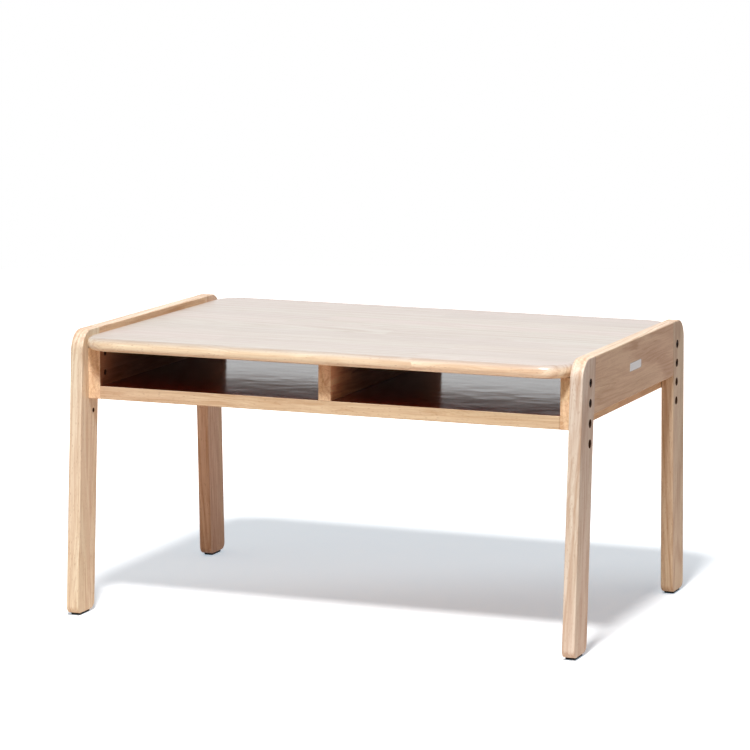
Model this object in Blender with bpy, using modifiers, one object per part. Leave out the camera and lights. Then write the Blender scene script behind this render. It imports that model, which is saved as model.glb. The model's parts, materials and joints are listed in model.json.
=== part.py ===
"""Low kids table of solid wood: two splayed side frames carry a two-bay storage box and its top.

Metres, +Z up. X is the table's width, -Y its front, and the origin lies on the floor under the
middle of the table. The box hangs between the frames on eight bolts. Each leg has a column of
four bolt holes, so the top can be set at three heights: this is the highest one.
"""

import math

import bmesh
import bpy
from mathutils import Vector

# Side frames: two splayed legs with a rail between them
TABLE_WIDTH = 0.820
FRAME_HEIGHT = 0.440
FRAME_THICKNESS = 0.020
FRAME_DEPTH_AT_TOP = 0.522
LEG_WIDTH = 0.060
LEG_SPLAY = math.radians(3.0)
RAIL_HEIGHT = 0.086
FRAME_CORNER_RADIUS = 0.030
FOOT_CORNER_RADIUS = 0.012
FRAME_EDGE_EASE = 0.002

# Felt pads under the feet
PAD_THICKNESS = 0.003
PAD_INSET = 0.002
PAD_CORNER_RADIUS = 0.003

# Table top, which lies a little below the frames' upper edge
SURFACE_BELOW_FRAME = 0.008
TOP_THICKNESS = 0.020
TOP_OVERHANG = 0.019
TOP_CORNER_RADIUS = 0.045
TOP_NOSE_FLAT = 0.001

# Storage box under the top, open at its front and its back
BOX_PAST_HOLES = 0.019
BOX_HEIGHT = 0.078
BOX_SIDE_THICKNESS = 0.020
SHELF_THICKNESS = 0.020
DIVIDER_THICKNESS = 0.020
BOX_EDGE_EASE = 0.001

# Height setting: a column of holes in each leg, and two threaded inserts for each in the box
HOLES_PER_LEG = 4
BOLTS_PER_LEG = ("upper", "lower")
HOLE_PITCH = 0.030
HOLE_FROM_LEG_EDGE = 0.0168
COUNTERBORE_CLEARANCE = 0.00125
COUNTERBORE_DEPTH = 0.007

# Socket head bolts and the inserts that they screw into
BOLT_DIAMETER = 0.006
BOLT_HEAD_DIAMETER = 0.010
BOLT_HEAD_HEIGHT = 0.006
BOLT_CHAMFER = 0.0006
SOCKET_ACROSS_FLATS = 0.005
SOCKET_DEPTH = 0.003
INSERT_DIAMETER = 0.0096
INSERT_CHAMFER = 0.0005
INSERT_BACKING = 0.0052
INSERT_BELOW_TOP = 0.0042
TIP_SHORT_OF_INSERT = 0.0004

# Dowels in the glued joints
DOWEL_DIAMETER = 0.008
DOWEL_CHAMFER = 0.001
RAIL_DOWEL_LENGTH = 0.040
BOX_DOWEL_LENGTH = 0.024
DOWEL_DEPTH_IN_FACE = 0.010
SHELF_DOWEL_FROM_HOLES = 0.042
TOP_DOWEL_FROM_HOLES = 0.062
DIVIDER_DOWEL_FROM_END = 0.121

# Bare plate let into the right rail
LABEL_LENGTH = 0.058
LABEL_HEIGHT = 0.0125
LABEL_THICKNESS = 0.0008
LABEL_BELOW_FRAME = 0.041
LABEL_CORNER_RADIUS = 0.0015

# Clearance between touching faces, and round whatever sits in a hole
GAP = 0.0003
# How far a cutter runs past the faces that it opens
CUT_PAST = 0.001
# How near a place, and how straight a direction, has to be when an edge is picked by it
PLACE_TOLERANCE = 0.001
PARALLEL = 0.999

SHARP_ANGLE = math.radians(35)
MERGE_DISTANCE = 0.00001
ARC_SEGMENTS = 7
EASE_SEGMENTS = 2
NOSE_SEGMENTS = 4
BORE_SIDES = 16
DOWEL_SIDES = 12

SIDES = {"left": -1, "right": 1}
ENDS = {"front": -1, "rear": 1}

FRAME_OUTER_X = TABLE_WIDTH / 2
FRAME_INNER_X = FRAME_OUTER_X - FRAME_THICKNESS
FRAME_MIDDLE_X = FRAME_OUTER_X - FRAME_THICKNESS / 2
RAIL_BOTTOM_Z = FRAME_HEIGHT - RAIL_HEIGHT
LEG_BOTTOM_Z = PAD_THICKNESS + GAP

SURFACE_Z = FRAME_HEIGHT - SURFACE_BELOW_FRAME
TOP_UNDERSIDE_Z = SURFACE_Z - TOP_THICKNESS
TOP_HALF_WIDTH = FRAME_INNER_X - GAP

BOX_BOTTOM_Z = TOP_UNDERSIDE_Z - BOX_HEIGHT
BOX_OUTER_X = FRAME_INNER_X - GAP
BOX_INNER_X = BOX_OUTER_X - BOX_SIDE_THICKNESS
BOX_SIDE_MIDDLE_X = (BOX_OUTER_X + BOX_INNER_X) / 2
SHELF_TOP_Z = BOX_BOTTOM_Z + SHELF_THICKNESS
SHELF_MIDDLE_Z = BOX_BOTTOM_Z + SHELF_THICKNESS / 2

FIRST_HOLE_Z = TOP_UNDERSIDE_Z - INSERT_BELOW_TOP - INSERT_DIAMETER / 2
INSERT_OUTER_X = BOX_OUTER_X - GAP
INSERT_LENGTH = BOX_SIDE_THICKNESS - GAP - INSERT_BACKING
BOLT_SEAT_X = FRAME_OUTER_X - COUNTERBORE_DEPTH + GAP
BOLT_TIP_X = INSERT_OUTER_X - INSERT_LENGTH + TIP_SHORT_OF_INSERT
BOLT_LENGTH = BOLT_SEAT_X - BOLT_TIP_X
BORE_RADIUS = BOLT_DIAMETER / 2 + GAP


def frame_edge_y(z):
    """Distance from the middle to a side frame's outer edge, at a height."""
    return FRAME_DEPTH_AT_TOP / 2 + (FRAME_HEIGHT - z) * math.tan(LEG_SPLAY)


def joint_y(z):
    """Distance from the middle to the leg's inner edge, where the rail butts against it."""
    return frame_edge_y(z) - LEG_WIDTH


def hole_z(index):
    """Height of a leg's holes, counted down from the uppermost."""
    return FIRST_HOLE_Z - index * HOLE_PITCH


# Depths, all from the frames: the holes stand in an upright column, so the lowest is nearest to
# the splayed leg's inner edge
HOLE_Y = joint_y(hole_z(HOLES_PER_LEG - 1)) + HOLE_FROM_LEG_EDGE
BOX_DEPTH = 2 * (HOLE_Y + BOX_PAST_HOLES)
TOP_DEPTH = FRAME_DEPTH_AT_TOP + 2 * TOP_OVERHANG


def clear_scene():
    for obj in list(bpy.data.objects):
        bpy.data.objects.remove(obj)


def new_collection(name, parent=None):
    collection = bpy.data.collections.new(name)
    (parent or bpy.context.scene.collection).children.link(collection)
    return collection


def new_material(name, colour, roughness, metallic=0.0):
    material = bpy.data.materials.new(name)
    material.use_nodes = True
    shader = material.node_tree.nodes["Principled BSDF"]
    shader.inputs["Base Color"].default_value = (*colour, 1.0)
    shader.inputs["Roughness"].default_value = roughness
    shader.inputs["Metallic"].default_value = metallic
    material.diffuse_color = (*colour, 1.0)
    return material


class Assembly:
    """The table's collections, materials and groups, and how a piece joins them."""

    def __init__(self):
        self.parts = new_collection("kids_table")
        self.cutters = new_collection("cutters")
        self.cutters.hide_render = True
        self.cuts = {}
        self.materials = {
            "frame_wood": new_material("frame_wood", (0.78, 0.58, 0.38), 0.45),
            "top_wood": new_material("top_wood", (0.82, 0.66, 0.48), 0.35),
            "box_wood": new_material("box_wood", (0.76, 0.56, 0.36), 0.40),
            "dowel_wood": new_material("dowel_wood", (0.80, 0.64, 0.44), 0.70),
            "black_steel": new_material("black_steel", (0.02, 0.02, 0.02), 0.40, 1.0),
            "plated_steel": new_material("plated_steel", (0.62, 0.58, 0.46), 0.35, 1.0),
            "black_felt": new_material("black_felt", (0.02, 0.02, 0.02), 0.95),
            "label_plate": new_material("label_plate", (0.80, 0.81, 0.83), 0.30, 1.0),
        }
        self.groups = {
            "frame_left": self.group("frame_left", (-FRAME_MIDDLE_X, 0, 0)),
            "frame_right": self.group("frame_right", (FRAME_MIDDLE_X, 0, 0)),
            "box": self.group("storage_box", (0, 0, BOX_BOTTOM_Z)),
        }

    def group(self, name, location):
        empty = bpy.data.objects.new(name, None)
        empty.location = location
        self.parts.objects.link(empty)
        return empty

    def piece(self, name, mesh, material, group, location, direction=None):
        """A named piece whose own origin is at a point of the table, turned towards a direction."""
        obj = bpy.data.objects.new(name, mesh)
        mesh.materials.clear()
        mesh.materials.append(self.materials[material])
        obj.parent = self.groups[group]
        obj.location = Vector(location) - obj.parent.location
        point_along(obj, direction)
        self.parts.objects.link(obj)
        return obj

    def cutter(self, name, mesh, location, direction, targets):
        """A cutter that takes its shape out of each of the targets."""
        obj = bpy.data.objects.new(name, mesh)
        obj.location = location
        point_along(obj, direction)
        obj.hide_render = True
        obj.display_type = "WIRE"
        for target in targets:
            self.cuts_of(target).objects.link(obj)
        return obj

    def cuts_of(self, target):
        """The collection of all that is cut out of a piece."""
        if target.name not in self.cuts:
            self.cuts[target.name] = new_collection(target.name + "_cuts", self.cutters)
        return self.cuts[target.name]

    def make_cuts(self):
        """Cuts every piece, each with one Boolean for all its cutters, once all of them are made."""
        for name, cuts in self.cuts.items():
            boolean = bpy.data.objects[name].modifiers.new("cuts", "BOOLEAN")
            boolean.operation = "DIFFERENCE"
            boolean.operand_type = "COLLECTION"
            boolean.collection = cuts


def point_along(obj, direction):
    """Turns an object so that its own Z runs along a direction."""
    if direction is not None:
        obj.rotation_euler = Vector(direction).to_track_quat("Z", "Y").to_euler()


def mesh_from(name, bm):
    mesh = bpy.data.meshes.new(name)
    bm.to_mesh(mesh)
    bm.free()
    mesh.shade_smooth()
    mesh.set_sharp_from_angle(angle=SHARP_ANGLE)
    return mesh


def block(size):
    bm = bmesh.new()
    bmesh.ops.create_cube(bm, size=1.0)
    bmesh.ops.scale(bm, vec=size, verts=bm.verts)
    return bm


def round_edges(bm, edges, radius, segments):
    bmesh.ops.bevel(
        bm,
        geom=edges,
        offset=radius,
        offset_type="OFFSET",
        affect="EDGES",
        segments=segments,
        profile=0.5,
        material=-1,
    )


def edges_along(bm, axis):
    """Edges that run along one axis: 0 is X, 1 is Y, 2 is Z."""
    found = []
    for edge in bm.edges:
        run = edge.verts[0].co - edge.verts[1].co
        if abs(run[axis]) > PARALLEL * run.length:
            found.append(edge)
    return found


def middle(edge):
    return (edge.verts[0].co + edge.verts[1].co) / 2


def turned_mesh(name, profile, sides):
    """A solid turned about its own Z, from (radius, height) points that run from top to bottom."""
    bm = bmesh.new()
    points = [bm.verts.new((radius, 0, height)) for radius, height in profile]
    for above, below in zip(points, points[1:]):
        bm.edges.new((above, below))
    mesh = mesh_from(name, bm)
    holder = bpy.data.objects.new(name, mesh)
    bpy.context.scene.collection.objects.link(holder)
    screw = holder.modifiers.new("turn", "SCREW")
    screw.steps = sides
    screw.render_steps = sides
    screw.use_merge_vertices = True
    screw.merge_threshold = MERGE_DISTANCE
    graph = bpy.context.evaluated_depsgraph_get()
    turned = bpy.data.meshes.new_from_object(holder.evaluated_get(graph))
    turned.name = name
    turned.set_sharp_from_angle(angle=SHARP_ANGLE)
    bpy.data.objects.remove(holder)
    bpy.data.meshes.remove(mesh)
    return turned


def rod_mesh(name, radius, length, sides, chamfer=0.0):
    half = length / 2
    profile = [(0, half), (radius - chamfer, half), (radius, half - chamfer)]
    profile += [(radius, chamfer - half), (radius - chamfer, -half), (0, -half)]
    if not chamfer:
        profile = [(0, half), (radius, half), (radius, -half), (0, -half)]
    return turned_mesh(name, profile, sides)


def board(name, size, ease):
    """A board with lightly eased edges, about its own middle."""
    bm = block(size)
    round_edges(bm, bm.edges[:], ease, EASE_SEGMENTS)
    return mesh_from(name, bm)


def leg_mesh(name, end):
    """One leg about the point on the floor below its foot's middle, splayed towards its end."""
    height = FRAME_HEIGHT - LEG_BOTTOM_Z
    foot_y = frame_edge_y(0) - LEG_WIDTH / 2
    bm = block((FRAME_THICKNESS, LEG_WIDTH, height))
    bmesh.ops.translate(bm, vec=(0, 0, LEG_BOTTOM_Z + height / 2), verts=bm.verts)
    for vert in bm.verts:
        vert.co.y += end * (frame_edge_y(vert.co.z) - LEG_WIDTH / 2 - foot_y)

    corners = edges_along(bm, 0)
    shoulder = [e for e in corners if middle(e).z > RAIL_BOTTOM_Z and leg_offset(e, end) > 0]
    foot = [e for e in corners if middle(e).z < RAIL_BOTTOM_Z]
    round_edges(bm, shoulder, FRAME_CORNER_RADIUS, ARC_SEGMENTS)
    round_edges(bm, foot, FOOT_CORNER_RADIUS, ARC_SEGMENTS)

    geometry = bm.verts[:] + bm.edges[:] + bm.faces[:]
    bmesh.ops.bisect_plane(bm, geom=geometry, plane_co=(0, 0, RAIL_BOTTOM_Z), plane_no=(0, 0, 1))
    round_edges(bm, [e for e in bm.edges if is_open_rim(e, end)], FRAME_EDGE_EASE, EASE_SEGMENTS)
    return mesh_from(name, bm)


def leg_offset(edge, end):
    """How far an edge of a leg lies outwards from the leg's middle line."""
    point = middle(edge)
    return end * point.y + frame_edge_y(0) - frame_edge_y(point.z)


def is_open_rim(edge, end):
    """An edge round a leg's broad faces, apart from where the rail meets the leg."""
    if len(edge.link_faces) != 2:
        return False
    broad = [abs(face.normal.x) > PARALLEL for face in edge.link_faces]
    inner_edge = PLACE_TOLERANCE - LEG_WIDTH / 2
    at_joint = middle(edge).z > RAIL_BOTTOM_Z and leg_offset(edge, end) < inner_edge
    return broad.count(True) == 1 and not at_joint


def rail_mesh(name):
    """A side rail about its own middle, its ends cut to the legs' splay."""
    middle_z = RAIL_BOTTOM_Z + RAIL_HEIGHT / 2
    bm = block((FRAME_THICKNESS, 2 * joint_y(middle_z), RAIL_HEIGHT))
    for vert in bm.verts:
        vert.co.y = math.copysign(joint_y(middle_z + vert.co.z) - GAP, vert.co.y)
    round_edges(bm, edges_along(bm, 1), FRAME_EDGE_EASE, EASE_SEGMENTS)
    return mesh_from(name, bm)


def top_mesh(name):
    """The top about its own middle: rounded corners, and a nose all round."""
    bm = block((2 * TOP_HALF_WIDTH, TOP_DEPTH, TOP_THICKNESS))
    round_edges(bm, edges_along(bm, 2), TOP_CORNER_RADIUS, ARC_SEGMENTS)
    upright = edges_along(bm, 2)
    rim = [e for e in bm.edges if e not in upright]
    round_edges(bm, rim, (TOP_THICKNESS - TOP_NOSE_FLAT) / 2, NOSE_SEGMENTS)
    return mesh_from(name, bm)


def bolt_mesh(name):
    """A socket head bolt about its seat, its head up, before its socket is cut."""
    head = BOLT_HEAD_DIAMETER / 2
    shank = BOLT_DIAMETER / 2
    profile = [
        (0, BOLT_HEAD_HEIGHT),
        (head - BOLT_CHAMFER, BOLT_HEAD_HEIGHT),
        (head, BOLT_HEAD_HEIGHT - BOLT_CHAMFER),
        (head, 0),
        (shank, 0),
        (shank, BOLT_CHAMFER - BOLT_LENGTH),
        (shank - BOLT_CHAMFER, -BOLT_LENGTH),
        (0, -BOLT_LENGTH),
    ]
    return turned_mesh(name, profile, BORE_SIDES)


def socket_mesh(name):
    """The hexagon that is cut into a bolt's head."""
    bm = bmesh.new()
    corner = SOCKET_ACROSS_FLATS / 2 / math.cos(math.pi / 6)
    depth = SOCKET_DEPTH + CUT_PAST
    bmesh.ops.create_cone(bm, cap_ends=True, segments=6, radius1=corner, radius2=corner, depth=depth)
    bmesh.ops.translate(bm, vec=(0, 0, CUT_PAST - depth / 2), verts=bm.verts)
    return mesh_from(name, bm)


def insert_mesh(name):
    """A threaded insert about the middle of its outer face, running down from it."""
    outer = INSERT_DIAMETER / 2
    profile = [
        (BORE_RADIUS, 0),
        (outer - INSERT_CHAMFER, 0),
        (outer, -INSERT_CHAMFER),
        (outer, INSERT_CHAMFER - INSERT_LENGTH),
        (outer - INSERT_CHAMFER, -INSERT_LENGTH),
        (BORE_RADIUS, -INSERT_LENGTH),
        (BORE_RADIUS, 0),
    ]
    return turned_mesh(name, profile, BORE_SIDES)


def stepped_bore_mesh(name, mouth_radius, mouth_depth, bore_radius, depth):
    """A cutter for a wide mouth and a narrower hole below it, about the mouth's middle."""
    profile = [
        (0, CUT_PAST),
        (mouth_radius, CUT_PAST),
        (mouth_radius, -mouth_depth),
        (bore_radius, -mouth_depth),
        (bore_radius, -depth - CUT_PAST),
        (0, -depth - CUT_PAST),
    ]
    return turned_mesh(name, profile, BORE_SIDES)


def add_frame(table, side, sign):
    """One side frame: two legs, the rail between them, their dowels and the feet's pads."""
    group = "frame_" + side
    x = sign * FRAME_MIDDLE_X
    rail_name = "side_rail_" + side
    rail_z = RAIL_BOTTOM_Z + RAIL_HEIGHT / 2
    rail = table.piece(rail_name, rail_mesh(rail_name), "frame_wood", group, (x, 0, rail_z))
    for end_name, end in ENDS.items():
        name = f"leg_{side}_{end_name}"
        foot_y = end * (frame_edge_y(0) - LEG_WIDTH / 2)
        leg = table.piece(name, leg_mesh(name, end), "frame_wood", group, (x, foot_y, 0))
        add_foot_pad(table, f"foot_pad_{side}_{end_name}", group, (x, foot_y))
        add_rail_dowels(table, side, end_name, end, x, (leg, rail))
        add_leg_holes(table, leg, sign, end)
    return rail


def add_foot_pad(table, name, group, place):
    length = LEG_WIDTH - 2 * FOOT_CORNER_RADIUS
    width = FRAME_THICKNESS - 2 * PAD_INSET
    bm = block((width, length, PAD_THICKNESS))
    round_edges(bm, edges_along(bm, 2), PAD_CORNER_RADIUS, EASE_SEGMENTS)
    table.piece(name, mesh_from(name, bm), "black_felt", group, (*place, PAD_THICKNESS / 2))


def add_rail_dowels(table, side, end_name, end, x, targets):
    """Two dowels square to the slanted joint, each halfway between two bolt holes."""
    along = Vector((0, end * math.cos(LEG_SPLAY), math.sin(LEG_SPLAY)))
    for index, level in enumerate(("upper", "lower")):
        z = hole_z(index) + HOLE_PITCH / 2
        centre = (x, end * joint_y(z), z)
        name = f"rail_dowel_{side}_{end_name}_{level}"
        add_dowel(table, name, "frame_" + side, RAIL_DOWEL_LENGTH, centre, along, targets)


def add_dowel(table, name, group, length, centre, along, targets):
    """A dowel, and the holes that hold it in both of the pieces that it joins."""
    radius = DOWEL_DIAMETER / 2
    pin = rod_mesh(name, radius, length, DOWEL_SIDES, DOWEL_CHAMFER)
    table.piece(name, pin, "dowel_wood", group, centre, along)
    hole = rod_mesh(name + "_hole", radius + GAP, length + 2 * GAP, DOWEL_SIDES)
    table.cutter(name + "_hole", hole, centre, along, targets)


def add_leg_holes(table, leg, sign, end):
    """The column of counterbored holes for the height setting."""
    bore = stepped_bore_mesh(
        leg.name + "_bore",
        BOLT_HEAD_DIAMETER / 2 + COUNTERBORE_CLEARANCE,
        COUNTERBORE_DEPTH,
        BORE_RADIUS,
        FRAME_THICKNESS,
    )
    for index in range(HOLES_PER_LEG):
        mouth = (sign * FRAME_OUTER_X, end * HOLE_Y, hole_z(index))
        table.cutter(f"{leg.name}_hole_{index + 1}", bore, mouth, (sign, 0, 0), [leg])


def add_box(table):
    """The top and the box below it: two side boards, the shelf and the divider, all dowelled."""
    top_place = (0, 0, SURFACE_Z - TOP_THICKNESS / 2)
    top = table.piece("table_top", top_mesh("table_top"), "top_wood", "box", top_place)

    side_height = BOX_HEIGHT - GAP
    side_size = (BOX_SIDE_THICKNESS, BOX_DEPTH, side_height)
    box_sides = {}
    for side, sign in SIDES.items():
        name = "box_side_" + side
        place = (sign * BOX_SIDE_MIDDLE_X, 0, BOX_BOTTOM_Z + side_height / 2)
        mesh = board(name, side_size, BOX_EDGE_EASE)
        box_sides[side] = table.piece(name, mesh, "box_wood", "box", place)

    shelf_size = (2 * (BOX_INNER_X - GAP), BOX_DEPTH, SHELF_THICKNESS)
    shelf = table.piece(
        "shelf_board",
        board("shelf_board", shelf_size, BOX_EDGE_EASE),
        "box_wood",
        "box",
        (0, 0, SHELF_MIDDLE_Z),
    )

    divider_height = TOP_UNDERSIDE_Z - SHELF_TOP_Z - 2 * GAP
    divider_size = (DIVIDER_THICKNESS, BOX_DEPTH, divider_height)
    divider = table.piece(
        "divider_board",
        board("divider_board", divider_size, BOX_EDGE_EASE),
        "box_wood",
        "box",
        (0, 0, (TOP_UNDERSIDE_Z + SHELF_TOP_Z) / 2),
    )

    for side, sign in SIDES.items():
        add_box_side_dowels(table, side, sign, box_sides[side], shelf, top)
        add_inserts(table, side, sign, box_sides[side])
    add_divider_dowels(table, divider, shelf, top)


def add_box_side_dowels(table, side, sign, box_side, shelf, top):
    """Dowels from a side board into the shelf's end and into the top."""
    shelf_x = sign * (BOX_INNER_X + DOWEL_DEPTH_IN_FACE - BOX_DOWEL_LENGTH / 2)
    top_z = TOP_UNDERSIDE_Z + DOWEL_DEPTH_IN_FACE - BOX_DOWEL_LENGTH / 2
    top_x = sign * BOX_SIDE_MIDDLE_X
    for step, where in ((-1, "front"), (0, "middle"), (1, "rear")):
        add_dowel(
            table,
            f"shelf_dowel_{side}_{where}",
            "box",
            BOX_DOWEL_LENGTH,
            (shelf_x, step * (HOLE_Y - SHELF_DOWEL_FROM_HOLES), SHELF_MIDDLE_Z),
            (sign, 0, 0),
            (box_side, shelf),
        )
        add_dowel(
            table,
            f"top_dowel_{side}_{where}",
            "box",
            BOX_DOWEL_LENGTH,
            (top_x, step * (HOLE_Y - TOP_DOWEL_FROM_HOLES), top_z),
            (0, 0, 1),
            (box_side, top),
        )


def add_divider_dowels(table, divider, shelf, top):
    """Two dowels up into the top and two down into the shelf."""
    reach = DOWEL_DEPTH_IN_FACE - BOX_DOWEL_LENGTH / 2
    distance = BOX_DEPTH / 2 - DIVIDER_DOWEL_FROM_END
    joints = (
        ("upper", TOP_UNDERSIDE_Z + reach, top),
        ("lower", SHELF_TOP_Z - reach, shelf),
    )
    for level, z, joined in joints:
        for end_name, end in ENDS.items():
            name = f"divider_dowel_{level}_{end_name}"
            centre = (0, end * distance, z)
            add_dowel(table, name, "box", BOX_DOWEL_LENGTH, centre, (0, 0, 1), (divider, joined))


def add_inserts(table, side, sign, box_side):
    """Threaded inserts let into a side board's outer face, over holes right through the board."""
    bore = stepped_bore_mesh(
        box_side.name + "_bore",
        INSERT_DIAMETER / 2 + GAP,
        INSERT_LENGTH + 2 * GAP,
        BORE_RADIUS,
        BOX_SIDE_THICKNESS,
    )
    for end_name, end in ENDS.items():
        for index, level in enumerate(BOLTS_PER_LEG):
            name = f"threaded_insert_{side}_{end_name}_{level}"
            mouth = Vector((sign * BOX_OUTER_X, end * HOLE_Y, hole_z(index)))
            table.cutter(name + "_bore", bore, mouth, (sign, 0, 0), [box_side])
            place = Vector((sign * INSERT_OUTER_X, mouth.y, mouth.z))
            mesh = insert_mesh(name)
            table.piece(name, mesh, "plated_steel", "box", place, (sign, 0, 0))


def add_bolts(table, side, sign):
    """The bolts in the upper holes of each leg, each with its origin on its own axis."""
    socket = socket_mesh(f"socket_{side}")
    for end_name, end in ENDS.items():
        for index, level in enumerate(BOLTS_PER_LEG):
            name = f"height_bolt_{side}_{end_name}_{level}"
            seat = Vector((sign * BOLT_SEAT_X, end * HOLE_Y, hole_z(index)))
            out = Vector((sign, 0, 0))
            mesh = bolt_mesh(name)
            bolt = table.piece(name, mesh, "black_steel", "frame_" + side, seat, out)
            head_face = seat + BOLT_HEAD_HEIGHT * out
            table.cutter(name + "_socket", socket, head_face, out, [bolt])


def plate_mesh(name, size, corner_radius):
    """A thin plate about its own middle, rounded at the corners of its broad face."""
    bm = block(size)
    round_edges(bm, edges_along(bm, 0), corner_radius, EASE_SEGMENTS)
    return mesh_from(name, bm)


def add_label_plate(table, rail):
    """The bare plate, flush in a shallow pocket of the right rail's outer face."""
    z = FRAME_HEIGHT - LABEL_BELOW_FRAME
    size = (LABEL_THICKNESS, LABEL_LENGTH, LABEL_HEIGHT)
    plate = plate_mesh("label_plate", size, LABEL_CORNER_RADIUS)
    place = (FRAME_OUTER_X - LABEL_THICKNESS / 2, 0, z)
    table.piece("label_plate", plate, "label_plate", "frame_right", place)

    depth = LABEL_THICKNESS + GAP + CUT_PAST
    pocket_size = (depth, LABEL_LENGTH + 2 * GAP, LABEL_HEIGHT + 2 * GAP)
    pocket = plate_mesh("label_pocket", pocket_size, LABEL_CORNER_RADIUS + GAP)
    pocket_place = (FRAME_OUTER_X + CUT_PAST - depth / 2, 0, z)
    table.cutter("label_pocket", pocket, pocket_place, None, [rail])


def main():
    clear_scene()
    table = Assembly()
    rails = {}
    for side, sign in SIDES.items():
        rails[side] = add_frame(table, side, sign)
    add_box(table)
    for side, sign in SIDES.items():
        add_bolts(table, side, sign)
    add_label_plate(table, rails["right"])
    table.make_cuts()


main()
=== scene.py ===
"""Looks of a low kids table of pale wood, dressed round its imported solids.

Metres, in the table's own frame: X is its width, -Y its open front, +Z up, and the origin lies on
the floor under its middle. The boards are modelled again with fine rounding, drilled for their
dowels and bolts, and finished as pale wood under clear lacquer. Bolts, foot pads and plate are
modelled again too; dowels and threaded inserts keep their solids.
"""

import json
import math
from collections import namedtuple

import bmesh
import bpy
from bpy.props import FloatProperty, FloatVectorProperty, IntProperty, PointerProperty
from bpy.types import Operator, Panel, PropertyGroup
from mathutils import Matrix, Vector, noise

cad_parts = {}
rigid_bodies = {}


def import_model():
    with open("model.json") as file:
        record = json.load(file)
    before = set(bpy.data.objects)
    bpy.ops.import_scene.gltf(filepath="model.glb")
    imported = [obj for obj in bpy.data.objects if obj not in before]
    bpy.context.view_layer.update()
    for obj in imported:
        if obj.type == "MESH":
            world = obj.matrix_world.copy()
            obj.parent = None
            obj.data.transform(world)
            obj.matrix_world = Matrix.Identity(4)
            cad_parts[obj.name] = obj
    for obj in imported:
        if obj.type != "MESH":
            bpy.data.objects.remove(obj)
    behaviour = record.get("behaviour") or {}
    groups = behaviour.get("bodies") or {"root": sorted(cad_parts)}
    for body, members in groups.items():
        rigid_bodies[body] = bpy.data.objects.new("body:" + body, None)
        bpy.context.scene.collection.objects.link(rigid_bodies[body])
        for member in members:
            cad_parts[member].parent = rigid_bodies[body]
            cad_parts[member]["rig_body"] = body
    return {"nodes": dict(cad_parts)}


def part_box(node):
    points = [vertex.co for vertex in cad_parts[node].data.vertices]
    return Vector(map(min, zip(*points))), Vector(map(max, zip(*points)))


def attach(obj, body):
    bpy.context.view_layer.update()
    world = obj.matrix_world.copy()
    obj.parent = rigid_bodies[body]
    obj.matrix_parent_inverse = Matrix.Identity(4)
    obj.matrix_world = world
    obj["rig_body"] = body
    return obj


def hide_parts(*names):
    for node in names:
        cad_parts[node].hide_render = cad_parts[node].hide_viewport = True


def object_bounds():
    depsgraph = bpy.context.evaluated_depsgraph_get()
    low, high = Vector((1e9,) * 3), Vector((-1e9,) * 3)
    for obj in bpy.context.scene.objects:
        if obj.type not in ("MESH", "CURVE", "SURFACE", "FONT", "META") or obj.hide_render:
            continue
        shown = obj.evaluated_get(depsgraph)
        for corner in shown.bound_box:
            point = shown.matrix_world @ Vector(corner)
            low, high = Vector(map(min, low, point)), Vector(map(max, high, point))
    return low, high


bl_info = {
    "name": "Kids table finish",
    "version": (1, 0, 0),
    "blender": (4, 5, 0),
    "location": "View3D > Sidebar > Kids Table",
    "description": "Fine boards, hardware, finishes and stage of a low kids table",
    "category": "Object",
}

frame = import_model()
cad_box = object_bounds()

SIDES = {"left": -1, "right": 1}
ENDS = {"front": -1, "rear": 1}
CORNERS = [(side, end) for side in SIDES for end in ENDS]
LEVELS = ("upper", "lower")
AXIS_X = Vector((1, 0, 0))
AXIS_Y = Vector((0, 1, 0))
AXIS_Z = Vector((0, 0, 1))

# Clearance that the solids keep where they touch, and how far a cutter runs past what it opens
SEAT_GAP = 0.0003
CUT_PAST = 0.001
MERGE_DISTANCE = 0.000001
PARALLEL = 0.999
SHARP_ANGLE = math.radians(38)
ROUND_STEPS = 48

# Material slots of a board's drilled holes, and of its faces towards the bays or the floor; both hold
# painted shade
HOLE_WALL = 1
INNER_FACE = 2

# Patterns in the wood, in cycles a metre along and across the grain
TONE = (1.6, 14.0, 14.0)
WAVE_OF_RINGS = (4.0, 30.0, 30.0)
STREAKS = (4.0, 190.0, 190.0)
FIBRES = (14.0, 620.0, 620.0)
PORES = (120.0, 620.0, 620.0)
SWELLS = (18.0, 24.0, 24.0)
RINGS = 170.0

# What a pattern adds of the tan colour: the span of noise that counts, then its share at each end
TAN_OF_RINGS = (0.35, 0.72, 0.0, 0.60)
TAN_OF_STREAKS = (0.32, 0.68, -0.25, 0.42)
TAN_OF_FIBRES = (0.3, 0.7, -0.18, 0.24)

# The same for the sandy tint by the tone of the wood; its share by the stave; and a stave's brightness
SANDY_BY_TONE = (0.35, 0.65, 0.0, 0.6)
SANDY_BY_STAVE = 0.4
STAVE_LEVELS = (0.93, 1.05)

# Pores: how one fades out to its rim, how many are faint, how dark the others are, and how deep
PORE_RIM = (0.12, 0.34, 1.0, 0.0)
FAINT_PORES = (0.35, 0.75, 0.15, 1.0)
PORE_DARKNESS = 0.50
PORE_DEPTH = 0.00005

# Fibres: their slant across a stave, how widely they meander, their height as a share of a pore's
# depth, and how much rougher the tan ones are
SLANT = 0.07
MEANDER = 0.035
FIBRE_RELIEF = 0.25
DRY_TAN = 0.05

# Cosines between grain and normal at which end grain starts and is whole
END_GRAIN = (0.6, 0.95)

# The heart of a stave's log: how it lies aslant, beside and below; and how far its rings waver
HEART_ASLANT = (-0.10, 0.10)
HEART_BESIDE = (-0.06, 0.06)
HEART_BELOW = (0.02, 0.09)
RING_WAVER = 0.016

# How staves lie in a board: the grain's way, the way from stave to stave, a point on a glue line,
# and a stave's width and length
Staves = namedtuple("Staves", "grain sideways joint width length")

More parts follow.
